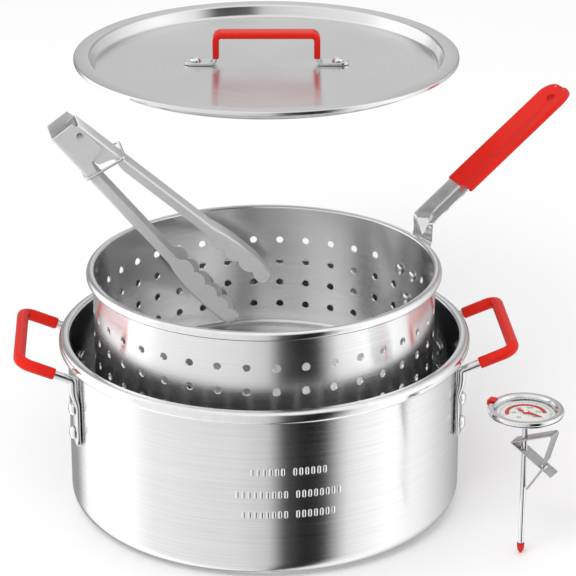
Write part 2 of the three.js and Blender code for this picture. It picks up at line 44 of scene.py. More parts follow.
# -------- driving sizes, the same as the CAD part's
POT_R, POT_WALL, POT_H, POT_CORNER, POT_BEAD_R, POT_BEAD_Z = 150, 2, 136, 14, 156.5, 126.5
BASKET_R, BASKET_WALL, BASKET_Z, BASKET_H, BASKET_CORNER = 129.5, 1.5, 85, 103, 11
BASKET_BEAD_R, BASKET_BEAD = 134.2, 6.5
COLUMNS, COLUMN_PHASE, HOLE_R, HOLE_DROPS = 38, 90.7, 2.8, (28.7, 47.1, 65.5, 84.1)
EASE_W, EASE = 0.28, 0.25        # width and depth of the eased edge of each wall hole
DRAIN_R, DRAIN_RINGS = 3.25, ((30, 6), (60, 12), (90, 18))
LID_R, LID_RECESS, LID_DEPTH, LID_T, LID_AT, LID_TURN = 154, 141.7, 11, 1.5, (11.5, 164.6, 305), -3.7
BAR, BAR_RISE, BAR_FEET, BAR_RIVETS, BAR_W, BAR_T = 81, 25, 132, 113.7, 12, 2.4
SIDE_SPAN, ROD_R, REACH, HANDLE_TOP, HANDLE_BEND, PLATE_TOP, PLATE_LOW = 48.6, 3.1, 185, 134, 118, 104, 64
PLATE_W, PLATE_T, SIDE_RIVETS, SLEEVE_R, SLEEVE_FROM, GAP = 14, 3.4, (95, 75.5), 4.5, 159, 0.3
ARM_AZIMUTH, ARM_W, ARM_T, ARM_X, ARM_CREASE, ARM_SLOPE, ARM_VEE = 26.3, 27, 2, 143, 193, 34.4, 3.5
GRIP_FROM, GRIP_END, GRIP_WALL, HANG, HANG_R, STRAP_HOLE_R = 43, 158.5, 1.4, 145.6, 3.6, 6.2
ARM_RIVETS, DART = ((-9, 155.8), (9, 155.8), (0, 134.3)), 8
# rivets: head radius, shank radius, dome height, height of the inner head
SIDE_RIVET, ARM_RIVET, LID_RIVET = (5.2, 2.5, 3.4, 1.6), (4.2, 2.2, 1.8, 1.6), (4.6, 2.2, 2.6, 1.2)
TONGS_REAR, TONGS_TIP, TONGS_ROLL, TONGS_W, TONGS_OPEN = (-153.9, 45.4, 279.5), (-17, 110.9, 93), 18, 22, 8.6
PIN, ARM_START, LOWER_END, UPPER_END = (6, 14.5), -5, 234, 219
DIAL_AT, CASE_Z, CASE_R, DISH_R, RIM_Z = (183.6, -119.1), 106.5, 27.5, 7, 114.5
BEZEL_R, WINDOW_R, STEM_R = 28, 21.9, 2
DIAL_Z, POINTER_Z, LENS_Z, BEZEL_Z, DIAL_TOP, POINTING = 113.5, 114.8, 116.4, 115.3, 118.5, -44
DIAL_NUMBERS, SCALE_START, SCALE_SWEEP, TICKS, MARKER_TURN = (50, 150, 250, 350, 450, 550), 228, 276, 40, 147.6
CLIP_TURN, CLIP_W, CLIP_T = -34.4, 11.8, 1
RAISED_ROWS, RAISED_MIDDLE = ((87, 13), (69, 18), (53, 16)), -86.5    # height and count of each row of bars


# -------- node material helpers
def principled(name, color, metallic=0.0, roughness=0.5, **sockets):
    material = bpy.data.materials.new(name)
    material.use_nodes = True
    shader = material.node_tree.nodes["Principled BSDF"]
    shader.inputs["Base Color"].default_value = (*color, 1)
    shader.inputs["Metallic"].default_value = metallic
    shader.inputs["Roughness"].default_value = roughness
    for socket, value in sockets.items():
        shader.inputs[socket.replace("_", " ")].default_value = value
    return material


def node(material, kind, inputs=(), **settings):
    """Adds a node; `inputs` maps socket names or numbers to values or to other nodes' outputs."""
    made = material.node_tree.nodes.new(kind)
    for key, value in settings.items():
        setattr(made, key, value)
    for key, value in dict(inputs).items():
        if isinstance(value, bpy.types.NodeSocket):
            material.node_tree.links.new(value, made.inputs[key])
        else:
            made.inputs[key].default_value = value
    return made


def wire(material, source, socket):
    material.node_tree.links.new(source, material.node_tree.nodes["Principled BSDF"].inputs[socket])


def math_node(material, operation, *inputs):
    return node(material, "ShaderNodeMath", enumerate(inputs), operation=operation).outputs[0]


def vector_node(material, operation, *inputs, output=0, **named):
    sockets = {**dict(enumerate(inputs)), **named}
    return node(material, "ShaderNodeVectorMath", sockets, operation=operation).outputs[output]


def object_place(material):
    return node(material, "ShaderNodeTexCoord").outputs["Object"]


def noise(material, vector, scale, detail, **named):
    sockets = {"Vector": vector, "Scale": scale, "Detail": detail, **named}
    return node(material, "ShaderNodeTexNoise", sockets).outputs["Fac"]


def blend(material, share, dark, light):
    return node(material, "ShaderNodeMix", {0: share, 6: dark, 7: light}, data_type="RGBA").outputs[2]


def shades_of(color, shades):
    return ([c * k for c in color] + [1] for k in shades)


def scaled(material, source, low, high):
    return node(material, "ShaderNodeMapRange", {0: source, 3: low, 4: high}).outputs[0]


def add_finish(material, pattern, color, shades, roughness, bump, patch=9.0):
    """Fine lines from `pattern` drive colour, roughness and bump; a slow cloud adds handling marks."""
    cloud = noise(material, object_place(material), patch, 3.0)
    mixed = math_node(material, "MULTIPLY", pattern, cloud)
    wire(material, blend(material, pattern, *shades_of(color, shades)), "Base Color")
    wire(material, scaled(material, mixed, *roughness), "Roughness")
    lines = node(material, "ShaderNodeBump", {"Strength": 0.5, "Distance": bump, "Height": pattern})
    wire(material, lines.outputs["Normal"], "Normal")


def spun_metal(name, centre, color, across, roughness, anisotropic, shades=(0.9, 1.05), bump=0.00004,
               flat=False):
    """Aluminium brushed round a vertical axis through `centre`: fine rings up a wall, or out over a disc."""
    material = principled(name, color, 1.0, roughness[0], Anisotropic=anisotropic, Anisotropic_Rotation=0.25)
    offset = vector_node(material, "ADD", object_place(material), [-c * MM for c in centre])
    x, y, z = node(material, "ShaderNodeSeparateXYZ", {0: offset}).outputs
    level = node(material, "ShaderNodeCombineXYZ", {0: x, 1: y}).outputs[0]
    around = vector_node(material, "SCALE", vector_node(material, "NORMALIZE", level), Scale=1.6)
    run = vector_node(material, "LENGTH", level, output="Value") if flat else z
    lifted = node(material, "ShaderNodeCombineXYZ",
                  {2: math_node(material, "MULTIPLY", run, across)}).outputs[0]
    lines = noise(material, vector_node(material, "ADD", around, lifted), 1.0, 4.0, Roughness=0.65)
    add_finish(material, lines, color, shades, roughness, bump)
    tangent = node(material, "ShaderNodeTangent", direction_type="RADIAL", axis="Z").outputs[0]
    wire(material, tangent, "Tangent")
    return material


def drawn_metal(name, color, roughness, matrix=None, grain=(60, 900, 900), shades=(0.9, 1.05), bump=0.00003,
                metallic=1.0):
    """Steel with a faint straight grain along the local X axis of `matrix`."""
    material = principled(name, color, metallic, roughness[0])
    turned = (matrix or Matrix()).to_3x3().inverted().to_euler()
    sockets = {0: object_place(material), "Rotation": list(turned), "Scale": list(grain)}
    mapped = node(material, "ShaderNodeMapping", sockets).outputs[0]
    add_finish(material, noise(material, mapped, 1.0, 3.0), color, shades, roughness, bump, 30.0)
    return material


def vinyl(name, color):
    """Dipped red vinyl: satin gloss, with a faint orange-peel skin and slow colour changes."""
    material = principled(name, color, 0.0, 0.32, Specular_IOR_Level=0.22)
    coords = object_place(material)
    peel, cloud = noise(material, coords, 900.0, 2.0), noise(material, coords, 25.0, 3.0)
    wire(material, blend(material, cloud, *shades_of(color, (0.86, 1.1))), "Base Color")
    wire(material, scaled(material, cloud, 0.24, 0.42), "Roughness")
    skin = node(material, "ShaderNodeBump", {"Strength": 0.25, "Distance": 0.0001, "Height": peel})
    wire(material, skin.outputs["Normal"], "Normal")
    return material


def printed(name, color, shades, roughness):
    """Painted sheet or ink: a slow uneven tone and sheen over a very fine grain."""
    material = principled(name, color, 0.0, roughness[0])
    grain = noise(material, object_place(material), 2500.0, 2.0)
    add_finish(material, grain, color, shades, roughness, 0.00001, 60.0)
    return material


def clear_lens(name):
    """Thin clear window: mostly see-through, with a Fresnel gloss."""
    material = bpy.data.materials.new(name)
    material.use_nodes = True
    tree = material.node_tree
    tree.nodes.remove(tree.nodes["Principled BSDF"])
    clear = node(material, "ShaderNodeBsdfTransparent", {0: (0.97, 0.98, 0.98, 1)})
    gloss = node(material, "ShaderNodeBsdfGlossy", {"Roughness": 0.03})
    edge = node(material, "ShaderNodeFresnel", {"IOR": 1.3})
    back = node(material, "ShaderNodeNewGeometry").outputs["Backfacing"]
    share = math_node(material, "MULTIPLY", edge.outputs[0], math_node(material, "SUBTRACT", 1.0, back))
    mix = node(material, "ShaderNodeMixShader", {0: share, 1: clear.outputs[0], 2: gloss.outputs[0]})
    tree.links.new(mix.outputs[0], tree.nodes["Material Output"].inputs["Surface"])
    return material


# -------- geometry helpers
def turn(axis, degrees):
    return Matrix.Rotation(radians(degrees), 4, axis)


def move(x, y, z):
    return Matrix.Translation((x, y, z))


def fillet(points, radius, steps=6, closed=False):
    """Points with every corner replaced by a true arc; `radius` is one number or one per point."""
    points = [Vector(p) for p in points]
    count = len(points)
    radii = radius if isinstance(radius, (list, tuple)) else [radius] * count
    out = []
    for i, here in enumerate(points):
        if radii[i] <= 0 or (not closed and i in (0, count - 1)):
            out.append(here)
            continue
        back, on = points[i - 1] - here, points[(i + 1) % count] - here
        room = 0.49 * min(back.length, on.length)
        back.normalize()
        on.normalize()
        half = acos(max(-1.0, min(1.0, back.dot(on)))) / 2
        if half > pi / 2 - 0.01:
            out.append(here)
            continue
        cut = min(radii[i] / tan(half), room)
        centre = here + (back + on).normalized() * (cut / cos(half))
        a, b = here + back * cut - centre, here + on * cut - centre
        sweep = pi - 2 * half
        for k in range(steps + 1):
            t = k / steps
            out.append(centre + (a * sin((1 - t) * sweep) + b * sin(t * sweep)) / sin(sweep))
    return out


def revolve(profile, segments=ROUND):
    """Turns an (r, z) outline about Z; it is closed on itself unless it starts on the axis."""
    profile = [Vector(p) for p in profile]
    closed = profile[0][0] > 1e-6
    rings, verts, faces = [], [], []
    for r, z in profile:
        if r < 1e-6:
            rings.append([len(verts)] * segments)
            verts.append((0, 0, z))
            continue
        rings.append(list(range(len(verts), len(verts) + segments)))
        for k in range(segments):
            angle = tau * k / segments
            verts.append((r * cos(angle), r * sin(angle), z))
    for i in range(len(rings) if closed else len(rings) - 1):
        low, high = rings[i], rings[(i + 1) % len(rings)]
        for k in range(segments):
            n = (k + 1) % segments
            corners = []
            for c in (low[k], low[n], high[n], high[k]):
                if c not in corners:
                    corners.append(c)
            faces.append(corners)
    return verts, faces


def oblong(centre, u, v, half_u, half_v, radius, steps=5):
    """Rounded rectangle of points in the plane of u and v; a circle when all three sizes are the same."""
    out = []
    for k, (su, sv) in enumerate(((1, 1), (-1, 1), (-1, -1), (1, -1))):
        for j in range(steps + 1):
            angle = pi / 2 * (k + j / steps)
            out.append(Vector(centre) + u * (su * (half_u - radius) + radius * cos(angle))
                       + v * (sv * (half_v - radius) + radius * sin(angle)))
    return out


def loft(rings, closed=False, caps=True):
    """Skin over rings that have the same number of points."""
    size = len(rings[0])
    verts = [p for ring in rings for p in ring]
    faces = []
    for i in range(len(rings) if closed else len(rings) - 1):
        a, b = i * size, ((i + 1) % len(rings)) * size
        faces += [(a + k, a + (k + 1) % size, b + (k + 1) % size, b + k) for k in range(size)]
    if caps and not closed:
        faces.append(tuple(range(size))[::-1])
        faces.append(tuple(range(len(verts) - size, len(verts))))
    return verts, faces


def sweep(path, side, half_u, half_v, radius, ends=0.0, closed=False, steps=5):
    """Rounded-rectangle bar along a path, `side` kept as its width direction as the path turns; soft ends."""
    path = [Vector(p) for p in path]
    count, rings, u = len(path), [], Vector(side)
    for i, here in enumerate(path):
        before = path[i - 1] if closed or i else here
        after = path[(i + 1) % count] if closed or i < count - 1 else here
        along = (after - before).normalized()
        u = (u - along * u.dot(along)).normalized()
        v = along.cross(u)
        stretch = 1.0
        if 0 < i < count - 1 or closed:
            a, b = (here - before).normalized(), (after - here).normalized()
            stretch = 1 / max(0.5, sqrt(max(0.0, (1 + a.dot(b)) / 2)))
        sway = after - here - (here - before)
        bend = v if abs(sway.dot(v)) > abs(sway.dot(u)) else u
        size_u = half_u * (stretch if bend is u else 1)
        size_v = half_v * (stretch if bend is v else 1)
        rings.append(oblong(here, u, v, size_u, size_v, radius, steps))
        if ends and not closed and i in (0, count - 1):
            inner = oblong(here + along * (-ends if i == 0 else ends) * 0.9, u, v, half_u - ends,
                           half_v - ends, max(radius - ends, 0.01), steps)
            rings.insert(0 if i == 0 else len(rings), inner)
    return loft(rings, closed)


def round_rings(path, radii, side):
    """Circles square to a path, the first turned to face `side`."""
    rings, u = [], side
    for i, (here, r) in enumerate(zip(path, radii)):
        along = (path[min(i + 1, len(path) - 1)] - path[max(i - 1, 0)]).normalized()
        u = (u - along * u.dot(along)).normalized()
        rings.append(oblong(here, u, along.cross(u) * -1, r, r, r * 0.999))
    return rings


def grid(rows):
    """Open sheet over rows of points."""
    width = len(rows[0])
    faces = [(i * width + k, i * width + k + 1, (i + 1) * width + k + 1, (i + 1) * width + k)
             for i in range(len(rows) - 1) for k in range(width - 1)]
    return [p for row in rows for p in row], faces


def join(*shapes):
    verts, faces = [], []
    for more_verts, more_faces in shapes:
        faces += [tuple(i + len(verts) for i in face) for face in more_faces]
        verts += list(more_verts)
    return verts, faces


def placed(shape, matrix):
    verts, faces = shape
    return [matrix @ Vector(p) for p in verts], faces


def mirrored(shape):
    verts, faces = shape
    return [(x, -y, z) for x, y, z in verts], [tuple(reversed(face)) for face in faces]


def object_of(name, shape, matrix, weld=None):
    """Object from a shape in millimetres, with its face normals turned outward."""
    verts, faces = shape
    place = matrix or Matrix()
    mesh = bpy.data.meshes.new(name)
    mesh.from_pydata([(place @ Vector(p)) * MM for p in verts], [], faces)
    form = bmesh.new()
    form.from_mesh(mesh)
    if weld:
        bmesh.ops.remove_doubles(form, verts=form.verts, dist=weld * MM)
    bmesh.ops.recalc_face_normals(form, faces=form.faces)
    form.to_mesh(mesh)
    form.free()
    made = bpy.data.objects.new(name, mesh)
    bpy.context.scene.collection.objects.link(made)
    return made


def add(name, shape, body, slot, material, matrix=None, nodes=None, sharp=38, bevel=0.0, sheet=0.0, offset=0.0,
        weld=0.02):
    """Makes a smooth piece that rides on a body; NODE_visual replaces NODE unless `nodes` says otherwise."""
    piece = object_of(name, shape, matrix, weld)
    piece.data.shade_smooth()
    piece.data.set_sharp_from_angle(angle=radians(sharp))
    piece.data.materials.append(material)
    if sheet:
        skin = piece.modifiers.new("sheet", "SOLIDIFY")
        skin.thickness, skin.offset, skin.use_even_offset = sheet * MM, offset, True
    if bevel:
        edge = piece.modifiers.new("edges", "BEVEL")
        edge.width, edge.segments, edge.limit_method = bevel * MM, 3, "ANGLE"
        edge.angle_limit, edge.harden_normals = radians(sharp), True
    if nodes is None and name.endswith("_visual"):
        nodes = [name.removesuffix("_visual")]
    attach(piece, body)
    if nodes:
        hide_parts(*nodes)
    return piece


def cut(piece, shape, matrix=None, sharp=38):
    """Takes a closed shape in millimetres out of a piece and applies the cut to its mesh."""
    tool = object_of("cutter", shape, matrix)
    step = piece.modifiers.new("cut", "BOOLEAN")
    step.object, step.operation, step.solver = tool, "DIFFERENCE", "EXACT"
    bpy.context.view_layer.update()
    result = bpy.data.meshes.new_from_object(piece.evaluated_get(bpy.context.evaluated_depsgraph_get()))
    piece.modifiers.clear()
    piece.data = result
    bpy.data.objects.remove(tool)
    result.shade_smooth()
    result.set_sharp_from_angle(angle=radians(sharp))


def spin(name, profile, body, slot, material, matrix=None, segments=ROUND, **more):
    return add(name, revolve(profile, segments), body, slot, material, matrix, **more)


def bar_between(a, b, r, segments=24):
    """Plain round bar along Z, used as a cutter."""
    return revolve([(0, a), (r, a), (r, b), (0, b)], segments)


# -------- materials
ALU = (0.83, 0.83, 0.835)
POT_METAL = spun_metal("pot_brushed", (0, 0, 0), ALU, 1500, (0.12, 0.4), 0.85, (0.8, 1.1), 0.00005)
BASKET_METAL = spun_metal("basket_brushed", (0, 0, 0), (0.86, 0.86, 0.865), 1500, (0.14, 0.46), 0.8,
                          (0.86, 1.06), 0.00005)
LID_METAL = spun_metal("lid_spun", LID_AT, (0.79, 0.79, 0.795), 1500, (0.16, 0.42), 0.9, (0.86, 1.08),
                       0.00004, True)
BEAD_METAL = drawn_metal("bead_polished", (0.86, 0.86, 0.865), (0.1, 0.24), grain=(200, 200, 200))
CHROME = drawn_metal("handle_plated", (0.78, 0.785, 0.79), (0.08, 0.26), grain=(260, 260, 260))
RIVET = drawn_metal("rivet_bright", (0.86, 0.86, 0.865), (0.12, 0.34), grain=(300, 300, 300))
SPRING = drawn_metal("spring_steel", (0.45, 0.45, 0.46), (0.25, 0.45), grain=(300, 300, 300))
CLIP_METAL = drawn_metal("clip_brushed", (0.5, 0.5, 0.51), (0.22, 0.46), grain=(700, 700, 90),
                         shades=(0.8, 1.1))
DIAL_METAL = drawn_metal("thermometer_polished", (0.8, 0.8, 0.81), (0.05, 0.2), grain=(260, 260, 260))
RED = vinyl("red_vinyl", (0.68, 0.012, 0.004))
RED_PLASTIC = vinyl("red_plastic", (0.62, 0.02, 0.012))
WHITE_FACE = printed("dial_printed", (0.86, 0.85, 0.82), (0.94, 1.04), (0.42, 0.58))
BLACK_INK = printed("dial_ink", (0.03, 0.03, 0.03), (0.7, 1.3), (0.48, 0.62))
LENS = clear_lens("lens_clear")
# the slot and the material of each kind of small piece
PLATED, CLIP, SPRUNG = ("plated_steel", CHROME), ("plated_steel", CLIP_METAL), ("spring_steel", SPRING)
VINYL, PLASTIC, RIVETED = ("red_vinyl", RED), ("red_plastic", RED_PLASTIC), ("rivet_aluminium", RIVET)
PAINTED, PRINTED = ("dial_white", WHITE_FACE), ("dial_white", BLACK_INK)
POLISHED = ("thermometer_steel", DIAL_METAL)


# -------- pot
def pot_profile():
    inner = POT_R - POT_WALL
    outline = [(0, 0), (POT_R, 0), (POT_R, POT_BEAD_Z + 0.6), (POT_BEAD_R, POT_BEAD_Z + 0.4),
               (POT_BEAD_R, POT_H), (inner + 0.2, POT_H), (inner, POT_WALL), (0, POT_WALL)]
    return fillet(outline, [0, POT_CORNER, 0.7, 4.2, 4.4, 2.4, POT_CORNER - POT_WALL, 0], 9)


def pot():
    shell = spin("pot_shell_visual", pot_profile(), "pot", "pot_aluminium", POT_METAL)
    shell.data.materials.append(BEAD_METAL)
    for face in shell.data.polygons:
        x, y, z = face.center / MM
        if z > POT_BEAD_Z + 0.2 and hypot(x, y) > POT_R - POT_WALL + 0.1:
            face.material_index = 1


def raised_bars():
    """Three centred rows of small crowned pills pressed out of the pot's front, each split by one gap."""
    pitch, half_w, half_h, shapes = 4.4, 1.5, 3.1, []
    crown = (-0.3, 0), (0.15, 0.05), (0.4, 0.25), (0.58, 0.6), (0.68, 1.05), (0.7, 1.35)
    for z, count in RAISED_ROWS:
        for k in range(count):
            if k == count // 2:
                continue
            angle = RAISED_MIDDLE + (k - (count - 1) / 2) * degrees(pitch / POT_R)
            place = turn("Z", angle) @ move(POT_R - 0.1, 0, z)
            rings = [oblong((x, 0, 0), Vector((0, 1, 0)), Vector((0, 0, 1)), half_w - inset, half_h - inset,
                            half_w - inset - 0.02) for x, inset in crown]
            shapes.append(placed(loft(rings), place))
    add("pot_raised_bars", join(*shapes), "pot", "pot_aluminium", BEAD_METAL, sharp=60)


def foot_frames():
    """Distance of the rods from the pot's axis, and the outward and sideways directions at a foot."""
    wall_x = POT_R + GAP + ROD_R + 0.1
    angle = asin(SIDE_SPAN / (POT_R + 3.6))
    out, tangent = Vector((cos(angle), sin(angle), 0)), Vector((-sin(angle), cos(angle), 0))
    return wall_x, out, tangent


def side_handle(sign):
    """Half of each piece is skinned from its foot to the middle of the cross bar, then mirrored."""
    wall_x, out, tangent = foot_frames()
    turned = turn("Z", 0 if sign > 0 else 180)
    label = "right" if sign > 0 else "left"
    x, y = wall_x * out.x, wall_x * out.y
    rings = []
    for k in range(15):
        z = PLATE_LOW + (PLATE_TOP + 10 - PLATE_LOW) * k / 14
        flat = 1 - min(1.0, max(0.0, (z - (PLATE_TOP - 7)) / 12))
        flat = flat * flat * (3 - 2 * flat)
        half_u = ROD_R + (PLATE_W / 2 - ROD_R) * flat
        half_v = ROD_R + (PLATE_T / 2 - ROD_R) * flat
        lift = POT_R + GAP + half_v + 0.1 * (1 - flat)
        rings.append(oblong(out * lift + Vector((0, 0, z)), tangent, out, half_u, half_v,
                            min(half_u, half_v) * 0.98))
    ends = []
    for depth, width in ((5.2, 0.30), (4.4, 0.56), (3.0, 0.80), (1.4, 0.95)):
        centre = out * (POT_R + GAP + PLATE_T / 2) + Vector((0, 0, PLATE_LOW + 5.4 - depth))
        ends.append(oblong(centre, tangent, out, PLATE_W / 2 * width, PLATE_T / 2 * min(1, width + 0.25),
                           PLATE_T / 2 * 0.3))
    rings = ends + rings[2:]
    climb = (HANDLE_TOP - HANDLE_BEND) / (REACH - x)
    corner = Vector((REACH, y, HANDLE_TOP))
    path = fillet([(x, y, PLATE_TOP + 11), (x, y, HANDLE_BEND), corner, (REACH, 0, HANDLE_TOP)],
                  [0, 8, 8.5, 0], 8)
    half = loft(rings + round_rings(path, [ROD_R] * len(path), tangent))
    add(f"{label}_handle_rod", join(half, mirrored(half)), "pot", *PLATED, turned,
        [f"{label}_side_handle_rod"], 50)
    start = Vector((SLEEVE_FROM, y, HANDLE_BEND + climb * (SLEEVE_FROM - x)))
    cover = fillet([start, corner, (REACH, 0, HANDLE_TOP)], 8.5, 9)
    along = (cover[1] - cover[0]).normalized()
    points = [cover[0], cover[0] + along * 0.25, cover[0] + along * 0.9, *cover[1:]]
    sizes = [ROD_R + 0.1, SLEEVE_R - 0.45, SLEEVE_R - 0.1] + [SLEEVE_R] * (len(cover) - 1)
    half = loft(round_rings(points, sizes, Vector((0, 1, 0))))
    add(f"{label}_handle_sleeve", join(half, mirrored(half)), "pot", *VINYL, turned,
        [f"{label}_side_handle_sleeve"], 60)
    for end, where in ((-1, "front"), (1, "back")):
        for z, level in zip(SIDE_RIVETS, ("upper", "lower")):
            swing = degrees(atan2(out.y, out.x)) * end * sign
            place = turned @ turn("Z", swing) @ move(POT_R - POT_WALL - 0.7, 0, z) @ turn("Y", 90)
            grip = POT_WALL + PLATE_T + 2 * GAP + 0.7
            rivet(f"{label}_{where}_{level}_rivet_visual", "pot", f"{label}_{where}_rivet_{level}", grip,
                  *SIDE_RIVET, place)


def rivet(name, body, cad_node, grip, head, shank, dome, tail, matrix):
    """Domed rivet along local Z with a flat-dished inner head."""
    outline = [(0, -tail), (head * 0.62, -tail), (head, -tail * 0.45), (head, 0), (shank, 0), (shank, grip),
               (head, grip), (head, grip + dome * 0.3), (head * 0.72, grip + dome * 0.86), (0, grip + dome)]
    profile = fillet(outline, [0, 1.2, 0.5, 0.15, 0, 0, 0.2, 0.9, 2.5, 0], 5)
    spin(name, profile, body, *RIVETED, matrix, 32, nodes=[cad_node])


# -------- basket
def blocked(column, drop):
    angle = COLUMN_PHASE + column * 360 / COLUMNS
    off = (angle - ARM_AZIMUTH + 540) % 360 - 180
    z = BASKET_Z + BASKET_H - drop
    return any(hypot(t - radians(off) * BASKET_R, rz - z) < 9 for t, rz in ARM_RIVETS)


def perforated_wall():
    """Outer and inner wall skins with round holes whose cut edges are eased."""
    per, step, inner = 8, tau / COLUMNS, BASKET_R - BASKET_WALL
    rows = [BASKET_Z + BASKET_H - drop for drop in HOLE_DROPS]
    levels = [rows[0] + 9.3] + [(a + b) / 2 for a, b in zip(rows, rows[1:])] + [BASKET_Z + BASKET_CORNER + 0.3]
    verts, faces = [], []

    def points(places, r):
        verts.extend((r * cos(angle), r * sin(angle), height) for angle, height in places)
        return range(len(verts) - len(places), len(verts))

    def bridge(a, b):
        faces.extend((a[k - 1], a[k], b[k], b[k - 1]) for k in range(len(a)))

    for column in range(COLUMNS):
        middle = radians(COLUMN_PHASE) + column * step
        for row, z in enumerate(rows):
            top, low = levels[row], levels[row + 1]
            frame_points = ([(middle + step * (0.5 - k / per), top) for k in range(per)]
                            + [(middle - step / 2, top + (low - top) * k / per) for k in range(per)]
                            + [(middle + step * (k / per - 0.5), low) for k in range(per)]
                            + [(middle + step / 2, low + (top - low) * k / per) for k in range(per)])
            ring = [pi / 4 + tau * k / (4 * per) for k in range(4 * per)]
            closed_cell = blocked(column, HOLE_DROPS[row])
            hole, eased_hole = ([(middle + size * cos(t) / BASKET_R, z + size * sin(t)) for t in ring]
                                for size in (HOLE_R, HOLE_R + EASE_W))
            mouths = []
            for r, lip in ((BASKET_R, BASKET_R - EASE), (inner, inner + EASE)):
                eased = points(eased_hole, r)
                bridge(points(frame_points, r), eased)
                if closed_cell:
                    faces.append(tuple(eased))
                else:
                    mouths.append(points(hole, lip))
                    bridge(eased, mouths[-1])
            if mouths:
                bridge(*mouths)
    return (verts, faces), levels[0], levels[-1], per * COLUMNS


def basket():
    wall, high, low, around = perforated_wall()
    inner, top = BASKET_R - BASKET_WALL, BASKET_Z + BASKET_H
    rim = fillet([(BASKET_R, high), (BASKET_R, top - BASKET_BEAD + 0.4), (BASKET_BEAD_R, top - BASKET_BEAD),
                  (BASKET_BEAD_R, top), (inner + 0.2, top), (inner, high)], [0, 0.6, 2.8, 3.1, 1.7, 0], 8)
    base = fillet([(inner, low), (inner, BASKET_Z + BASKET_WALL), (110, BASKET_Z + BASKET_WALL),
                   (106, BASKET_Z + 3), (0.0, BASKET_Z + 3)], [0, BASKET_CORNER - BASKET_WALL, 2, 2, 0], 8)
    under = fillet([(BASKET_R, low), (BASKET_R, BASKET_Z), (111, BASKET_Z), (107, BASKET_Z + 1.5),
                    (0.0, BASKET_Z + 1.5)], [0, BASKET_CORNER, 2, 2, 0], 8)
    turned = turn("Z", COLUMN_PHASE + 180 / COLUMNS)
    skins = [placed(revolve(list(reversed(profile)), around), turned) for profile in (base, under)]
    rows = [[turned @ Vector((r * cos(tau * k / around), r * sin(tau * k / around), z))
             for k in range(around + 1)] for r, z in rim]
    shell = add("basket_shell_visual", join(wall, grid(rows), *skins), "basket", "basket_aluminium",
                BASKET_METAL, sharp=32, weld=0.01)
    drain = bar_between(BASKET_Z - 3, BASKET_Z + 8, DRAIN_R, 20)
    cut(shell, join(*(placed(drain, turn("Z", 360 * k / count) @ move(radius, 0, 0))
                      for radius, count in DRAIN_RINGS for k in range(count))))
    shell.data.materials.append(BEAD_METAL)
    for face in shell.data.polygons:
        x, y, z = face.center / MM
        if z > top - BASKET_BEAD + 0.5 and hypot(x, y) > inner + 0.15:
            face.material_index = 1
    true_wall_normals(shell, high, low)


def true_wall_normals(shell, high, low):
    """Gives the perforated cylinder faces their exact radial normals, so that reflections run straight."""
    mesh = shell.data
    normals = [Vector(n.vector) for n in mesh.corner_normals]
    for face in mesh.polygons:
        if not low * MM - 1e-5 < face.center[2] < high * MM + 1e-5:
            continue
        radial = Vector((face.center[0], face.center[1], 0)).normalized()
        if abs(face.normal.dot(radial)) < 0.97:
            continue
        sign = 1 if face.normal.dot(radial) > 0 else -1
        for loop in face.loop_indices:
            co = mesh.vertices[mesh.loops[loop].vertex_index].co
            normals[loop] = Vector((co[0], co[1], 0)).normalized() * sign
    mesh.normals_split_custom_set([n[:] for n in normals])


def arm_matrix():
    return turn("Z", ARM_AZIMUTH) @ move(ARM_X, 0, ARM_CREASE) @ turn("Y", -ARM_SLOPE)


def basket_handle():
    """Strap with a joggle past the rim; a V crease along the arm ends in a pressed dart at the bend."""
    half, slope = ARM_W / 2, radians(ARM_SLOPE)
    wall_x = BASKET_R + GAP + 0.2 + ARM_T / 2
    across = [half * k / 12 for k in range(-12, 13)]
    skins = []
    for side in (-1, 1):
        rows = []
        for t in across:
            share = abs(t) / half
            vee = ARM_VEE * (sqrt(share * share + 0.006) - 0.077)
            dart = DART * max(0.0, 1 - share / 0.62)
            x = ARM_X + side * ARM_T / 2
            above = vee + (ARM_T if side < 0 else 0)
            bend_z = ARM_CREASE + side * ARM_T / 2 * tan(slope) + above / cos(slope)
            line = [(wall_x + side * ARM_T / 2, 0, 125), (wall_x + side * ARM_T / 2, 0, 166 - side * 0.4),
                    (x, 0, 183 - side * 0.4), (x, 0, bend_z - dart - 1.5)]
            out = fillet(line, [0, 6 + side, 6 - side, 0], 5)
            for k in range(1, 7):
                f = k / 7
                low, high = Vector((x, 0, bend_z - dart - 1.5)), Vector((x, 0, bend_z)) + along_arm(dart + 1.5)
                knee = Vector((x, 0, bend_z)).lerp((low + high) / 2, min(1.0, dart / DART))
                out.append(low * (1 - f) ** 2 + knee * (2 * f * (1 - f)) + high * f * f)
            start = Vector((x, 0, bend_z))
            for reach in (DART + 3, 16, 24, 34, 44, 60, 80, 100, 120, 134, 140, 145, 149, 152, 154):
                out.append(start + along_arm(reach))
            rows.append([Vector((q[0], t, q[2])) for q in out])
        skins.append(rows)
    count = len(skins[0][0])
    for rows in skins:
        for row, t in zip(rows, across):
            for k, q in enumerate(row):
                low_end = max(0.0, 1 - (q.z - 125) / 8) if k < 8 else 0.0
                far_end = max(0.0, (hypot(q.x - ARM_X, q.z - ARM_CREASE) - 143) / 13)
                squeeze = 1 - 0.42 * low_end ** 2.2 - 0.62 * min(1.0, far_end) ** 2.4
                q.y = t * squeeze
    under, over = skins
    rings = [[row[k] for row in under] + [row[k] for row in reversed(over)] for k in range(count)]
    strap = add("basket_handle_strap_visual", loft(rings), "basket", *PLATED,
                turn("Z", ARM_AZIMUTH), sharp=24, bevel=0.3)
    cut(strap, bar_between(-8, 14, STRAP_HOLE_R, 36), arm_matrix() @ move(HANG, 0, 0), sharp=24)
    grip()


def along_arm(reach):
    slope = radians(ARM_SLOPE)
    return Vector((cos(slope), 0, sin(slope))) * reach


